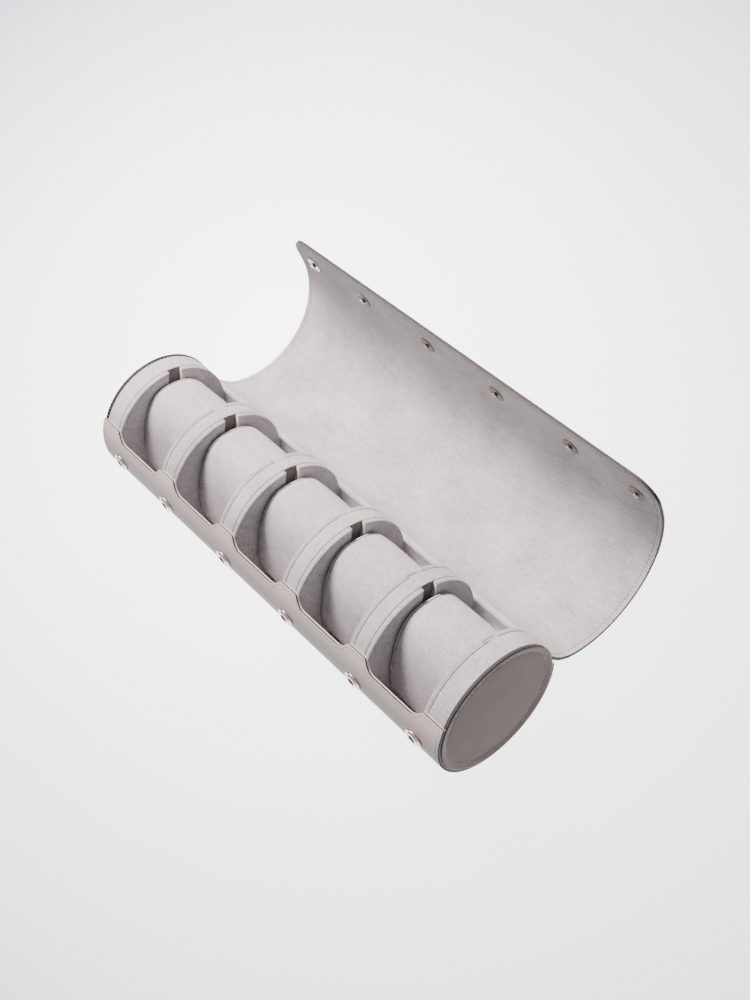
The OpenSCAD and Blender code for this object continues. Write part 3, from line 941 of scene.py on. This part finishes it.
def flap_point(x, s, depth):
    """A point of the flap, at a depth below its suede side. Before 0 it goes round the fold to the lining."""
    if s >= 0:
        where = min(s / FLAP_LEN, 1) * WALK_STEPS
        k = min(int(where), WALK_STEPS - 1)
        spot = FLAP_LINE[k].lerp(FLAP_LINE[k + 1], where - k)
        spot = spot - depth * toward(heading(s) + 90)
    else:
        share = -s / FOLD_ARC
        degrees = FOLD_TO + (FOLD_FROM - FOLD_TO) * share
        radius = 2 * MM + 0.75 * MM * share
        left = radius - depth * (radius - 0.2 * MM) / FLAP_T
        spot = FOLD + left * toward(degrees)
    return Vector((x, spot.y, spot.z))


def flap_half(s, inset=0):
    """Half the flap's width at a distance from the fold, with its round far corners."""
    past = s - (FLAP_LEN - CORNER_R)
    if past <= 0:
        return FLAP_HALF - inset
    reach = CORNER_R - inset
    return FLAP_HALF - CORNER_R + math.sqrt(max(reach ** 2 - past ** 2, 0))


def rim_gap(x, s):
    """Distance from a place on the flap to its painted edge."""
    past_x = abs(x) - (FLAP_HALF - CORNER_R)
    past_s = s - (FLAP_LEN - CORNER_R)
    if past_x > 0 and past_s > 0:
        return CORNER_R - math.hypot(past_x, past_s)
    return min(FLAP_HALF - abs(x), FLAP_LEN - s)


class ROLL_OT_flap(bpy.types.Operator):
    """Lays the flap: leather outside and suede inside, sewn along the edge"""

    bl_idname = "watch_roll.flap"
    bl_label = "Flap"

    # The stretch's name, the end of its nodes' names, and the bodies before and after its bend.
    STRETCHES = (
        ("fold", "root", "body", "flap_root"),
        ("belly", "belly", "flap_root", "flap_belly"),
        ("shoulder", "shoulder", "flap_belly", "flap_shoulder"),
        ("edge", "edge", "flap_shoulder", "flap_edge"),
    )

    def execute(self, context):
        cuts = [-FOLD_ARC, *[(low + high) / 2 for low, high in zip(BENDS, BENDS[1:-1])], FLAP_LEN]
        for k, (name, node, before, after) in enumerate(self.STRETCHES):
            low, high = cuts[k], cuts[k + 1]
            bend = BENDS[k]
            reach = min(bend - low, high - bend) * 0.75
            turn_from, turn_to = (bend - reach, bend + reach) if k else (-FOLD_ARC, 0)
            start, stop = flap_point(0, turn_from, 0), flap_point(0, turn_to, 0)
            for layer in ("suede", "leather"):
                replaced = [f"flap_{layer}_{node}"]
                piece = self.stretch(f"flap_{layer}_{name}_sheet", layer, low, high, replaced)
                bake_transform(piece)
        return {"FINISHED"}

    def stretch(self, name, layer, low, high, replaced):
        """One layer of the flap between two places along it."""
        sizes = sized()
        inner = layer == "suede"
        inset = 0.2 * MM if inner else 0
        far = high >= FLAP_LEN
        middle = FLAP_HALF - 6 * MM
        fine = 0.45 * MM
        places = stepped((-FLAP_HALF, fine), (-middle, 2.4 * MM), (middle, fine), (FLAP_HALF, 1))
        across = [x / FLAP_HALF for x in places]
        start = [(low, 0.5 * MM), (low + 2 * MM, 1.8 * MM)]
        stop = [(high - 2 * MM, 0.5 * MM), (high, 1)]
        if low < 0:
            start = [(low, 0.35 * MM), (0, 0.8 * MM), (3 * MM, 1.6 * MM)]
        elif far:
            stop = [
                (FLAP_LEN - CORNER_R, 1 * MM), (FLAP_LEN - 6 * MM, 0.4 * MM),
                (FLAP_LEN - 1.4 * MM, 0.15 * MM), (FLAP_LEN - inset, 1),
            ]
        along = stepped(*start, *stop)

        def place(u, s, side):
            x = u * flap_half(s, inset)
            dent = groove(rim_gap(x, s), sizes.stitch_inset, 0.45 * MM, 0.22 * MM)
            if inner:
                depth = dent if side == 0 else SUEDE_T
            else:
                depth = SUEDE_T if side == 0 else FLAP_T - dent
            return flap_point(x, s, depth)

        def flat(u, s):
            return u * flap_half(s, inset), s

        ends = along[:1] if far else [along[0], along[-1]]
        bm = ply(across, along, place, flat, ends, 0.2 * MM if inner else sizes.edge_round)
        outward = 1 if inner else -1
        depth = 0.12 * MM if inner else FLAP_T - 0.12 * MM
        for line in self.seam(low, high, far):
            sew(bm, [(flap_point(x, s, depth), outward * toward(heading(s) + 90)) for x, s in line], 2)
        finishes = ["flap_suede" if inner else "leather", "paint", "thread"]
        return new_piece(name, bm, finishes, replaced)

    def seam(self, low, high, far):
        """The stitch lines of one stretch: two sides, or one line round the far edge."""
        inset = sized().stitch_inset
        sides = steps(max(low, 0.5 * MM), high if not far else FLAP_LEN - CORNER_R, 0.9 * MM)
        if not far:
            return [[(side * (FLAP_HALF - inset), s) for s in sides] for side in (-1, 1)]
        line = [(-(FLAP_HALF - inset), s) for s in sides[:-1]]
        reach = CORNER_R - inset
        straight = FLAP_HALF - CORNER_R

        def corner(middle, first, last):
            for degrees in steps(first, last, -4):
                turn = math.radians(degrees)
                line.append((middle + reach * math.cos(turn), FLAP_LEN - CORNER_R + reach * math.sin(turn)))

        corner(-straight, 180, 90)
        line += [(x, FLAP_LEN - inset) for x in steps(-straight, straight, 1 * MM)[1:-1]]
        corner(straight, 90, 0)
        return [line + [(FLAP_HALF - inset, s) for s in reversed(sides[:-1])]]


class ROLL_OT_snaps(bpy.types.Operator):
    """Sets the snaps: sockets, springs and posts on the lip, studs and caps on the flap"""

    bl_idname = "watch_roll.snaps"
    bl_label = "Snaps"

    def execute(self, context):
        cup = rounded(
            [(1.55, 0), (6.2, 0), (6.2, 1.2), (5, 1.2), (4.7, 1.9), (2.7, 1.9), (2.7, 1.6), (4.1, 1.6),
             (4.1, 0.8), (1.55, 0.8), (1.55, 0)],
            [0, 0, 0.4, 0.1, 0.25, 0.1, 0, 0, 0, 0, 0], 4,
        )
        post = rounded(
            [(0, -1.4), (1.5, -1.4), (1.5, 0.8), (2, 0.8), (2, 1.05), (0.6, 1.05), (0, 0.9)],
            [0, 0, 0, 0.1, 0.15, 0.1, 0], 3,
        )
        stud = rounded(
            [(0, 0), (6, 0), (6, 0.55), (5.4, 0.7), (3, 0.7), (2.6, 0.5), (0, 0.5)],
            [0, 0.12, 0.2, 0.3, 0.1, 0.1, 0], 3,
        )
        knob = rounded(
            [(0, 0.4), (1.75, 0.4), (1.75, 1.3), (1.95, 1.7), (1.95, 2.1), (1.5, 2.3), (0.8, 2.3), (0.5, 2.1),
             (0, 2.05)],
            [0, 0, 0.1, 0.12, 0.15, 0.15, 0.1, 0.1, 0], 3,
        )
        back = -FLAP_T / MM
        cap = rounded(
            [(0, back - 0.9), (4.4, back - 0.85), (5.5, back - 0.45), (5.5, back), (1.5, back), (1.5, 0),
             (0, 0)],
            [0, 0.8, 0.3, 0.05, 0, 0, 0], 4,
        )
        self.set_of("socket_cups", self.on_shell, [(cup, 48)], "snap_sockets", "body")
        self.set_of("socket_rivets", self.on_shell, [(post, 32)], "socket_posts", "body")
        bm = bmesh.new()
        for x in SNAP_X:
            for side in (-1, 1):
                self.wire(bm, self.on_shell(x), side)
        new_piece("socket_wires", bm, ["nickel"], ["socket_springs"], "body")
        # The studs' flanges take the darkened stud nickel, painted shade; their knobs take plain nickel.
        self.set_of(
            "stud_knobs", self.on_flap, [(stud, 48), (knob, 32)], "snap_studs", "flap_edge",
            ["stud_nickel", "nickel"],
        )
        self.set_of("stud_caps", self.on_flap, [(cap, 48)], "snap_caps", "flap_edge")
        return {"FINISHED"}

    def set_of(self, name, place, parts, node, body, finishes=("nickel",)):
        """Turns the same profiles at all six snaps, each part with its own finish."""
        bm = bmesh.new()
        for x in SNAP_X:
            for finish, (profile, count) in enumerate(parts):
                turned(bm, profile, place(x), count, finish)
        new_piece(name, bm, finishes, [node], body)

    def on_shell(self, x):
        spot = polar(x, SHELL_R, SOCKET_ANGLE)
        return Matrix.Translation(spot) @ Matrix.Rotation(math.radians(SOCKET_ANGLE - 90), 4, "X")

    def on_flap(self, x):
        spot = flap_point(x, STUD_S, 0)
        return Matrix.Translation(spot) @ Matrix.Rotation(math.radians(heading(STUD_S)), 4, "X")

    def wire(self, bm, place, side):
        """A spring wire beside the mouth, bowed a little towards the knob."""
        count = 10
        ring = bmesh.ops.create_circle(bm, cap_ends=True, radius=0.22 * MM, segments=10)["verts"]
        bmesh.ops.transform(bm, matrix=LAID, verts=ring)
        bmesh.ops.translate(bm, vec=(-2.5 * MM, side * 2.55 * MM, 1.3 * MM), verts=ring)
        made = list(ring)

        def ring_edges():
            edges = {edge for vert in ring for edge in vert.link_edges}
            return [edge for edge in edges if all(vert in ring for vert in edge.verts)]

        for step in range(1, count + 1):
            ring = verts_in(bmesh.ops.extrude_edge_only(bm, edges=ring_edges())["geom"])
            bow = 0.25 * MM * (math.sin(math.pi * step / count) - math.sin(math.pi * (step - 1) / count))
            bmesh.ops.translate(bm, vec=(0.5 * MM, -side * bow, 0), verts=ring)
            made += ring
        bmesh.ops.contextual_create(bm, geom=ring_edges())
        bmesh.ops.transform(bm, matrix=place, verts=made)
        bmesh.ops.recalc_face_normals(bm, faces=faces_of(made))


class ROLL_OT_stage(bpy.types.Operator):
    """Sets the pale floor, the soft lights and the camera"""

    bl_idname = "watch_roll.stage"
    bl_label = "Stage"

    # Name, place in metres, width, power in watts and colour. Both lights aim at the middle of the roll.
    LIGHTS = (
        ("overhead softbox", (-0.58, 0.3, 1.2), 0.5, 59, "FFEEEA"),
        ("low front panel", (-0.4, -1.25, 0.16), 1, 4, "FFF4EE"),
    )

    # The camera that was fitted to the photograph. Its place is in millimetres from the roll's axis, and its
    # lens and the middle of its view are in pixels of a frame that is 1000 high and 750 wide.
    VIEW_TURN = 0.8605
    VIEW_TILT = 0.7853
    TABLE_TILT = math.radians(23.4)
    VIEW_FROM = Vector((466.25 * MM, -347.96 * MM, 620.29 * MM))
    LENS = 1377.54
    MIDDLE = (376.2, 497.7)
    FILM = 36

    def execute(self, context):
        self.floor(context.scene.watch_roll_colours.floor)
        self.lights()
        self.camera()
        return {"FINISHED"}

    def floor(self, base):
        """A paper floor that glows with painted light, brightest in an oval round the roll and darker at its
        edges.
        """
        bm = bmesh.new()
        bmesh.ops.create_grid(bm, x_segments=8, y_segments=8, size=8)
        floor = put("floor", mesh_of(bm, "floor"))
        made, tree = new_material("paper backdrop, painted glow")
        place = add(tree, "ShaderNodeTexCoord").outputs["Object"]
        # The bright oval round the roll and the grey-blue towards the edges are painted light and shade, and
        # the floor glows with it though it is no lamp.
        centred = add(tree, "ShaderNodeMapping", {
            "Vector": place, "Location": (-0.15, 0.045, 0), "Rotation": (0, 0, math.radians(168.4)),
            "Scale": (0.66, 0.52, 1),
        }, vector_type="TEXTURE")
        spot = add(tree, "ShaderNodeTexGradient", {"Vector": centred.outputs[0]}, gradient_type="SPHERICAL")
        shade = add(tree, "ShaderNodeMix", {
            "Factor": spot.outputs["Fac"], "A": (*linear("6A707C"), 1), "B": (*base, 1),
        }, data_type="RGBA")
        glow = add(tree, "ShaderNodeEmission", {"Color": shade.outputs["Result"], "Strength": 8.9})
        paper = add(tree, "ShaderNodeBsdfPrincipled", {
            "Base Color": shade.outputs["Result"], "Roughness": 0.9,
        })
        blend = add(tree, "ShaderNodeMixShader", {0: 0.85, 1: paper.outputs[0], 2: glow.outputs[0]})
        add(tree, "ShaderNodeOutputMaterial", {"Surface": blend.outputs[0]})
        floor.data.materials.append(made)
        floor.visible_diffuse = False

    def lights(self):
        world = bpy.data.worlds.new("studio")
        world.use_nodes = True
        surround = world.node_tree.nodes["Background"].inputs
        surround[0].default_value = (*linear("EAEFF8"), 1)
        surround[1].default_value = 0.3
        bpy.context.scene.world = world
        for name, spot, size, power, tint in self.LIGHTS:
            data = bpy.data.lights.new(name, "AREA")
            data.shape = "DISK"
            data.size = size
            data.energy = power
            data.color = linear(tint)
            light = put(name, data)
            light.location = spot
            light.rotation_euler = (Vector(spot) - Vector((0, 0, 0.04))).to_track_quat("Z", "Y").to_euler()

    def camera(self):
        across, down = math.cos(self.VIEW_TILT), math.sin(self.VIEW_TILT)
        right = Vector((math.cos(self.VIEW_TURN), math.sin(self.VIEW_TURN), 0))
        back = Vector((math.sin(self.VIEW_TURN) * across, -math.cos(self.VIEW_TURN) * across, down))
        turn = Matrix.Rotation(-self.TABLE_TILT, 3, "X")
        axes = Matrix((turn @ right, turn @ back.cross(right), turn @ back)).transposed().to_4x4()
        data = bpy.data.cameras.new("camera")
        data.sensor_width = self.FILM
        data.lens = self.LENS / 1000 * self.FILM
        data.shift_x = (375 - self.MIDDLE[0]) / 1000
        data.shift_y = (self.MIDDLE[1] - 500) / 1000
        data.clip_start = 0.05
        camera = put("camera", data)
        camera.matrix_world = Matrix.Translation(turn @ self.VIEW_FROM + AXIS) @ axes
        bpy.context.scene.camera = camera


class ROLL_PT_panel(bpy.types.Panel):
    """Lists the steps that build the watch roll"""

    bl_label = "Watch Roll"
    bl_space_type = "VIEW_3D"
    bl_region_type = "UI"
    bl_category = "Watch Roll"

    def draw(self, context):
        for step in STEPS:
            self.layout.operator(step.bl_idname)
        for group in (context.scene.watch_roll_sizes, context.scene.watch_roll_colours):
            box = self.layout.box()
            for name in type(group).__annotations__:
                box.prop(group, name)


STEPS = (
    ROLL_OT_shell, ROLL_OT_ends, ROLL_OT_ribs, ROLL_OT_cushions, ROLL_OT_flap, ROLL_OT_snaps, ROLL_OT_stage,
)
CLASSES = (RollSizes, RollColours, *STEPS, ROLL_PT_panel)


def register():
    for part in CLASSES:
        bpy.utils.register_class(part)
    bpy.types.Scene.watch_roll_sizes = bpy.props.PointerProperty(type=RollSizes)
    bpy.types.Scene.watch_roll_colours = bpy.props.PointerProperty(type=RollColours)


def unregister():
    del bpy.types.Scene.watch_roll_sizes
    del bpy.types.Scene.watch_roll_colours
    for part in reversed(CLASSES):
        bpy.utils.unregister_class(part)


def main():
    register()
    make_materials(bpy.context.scene.watch_roll_colours)
    for step in STEPS:
        group, name = step.bl_idname.split(".")
        getattr(getattr(bpy.ops, group), name)()


if __name__ == "__main__":
    main()
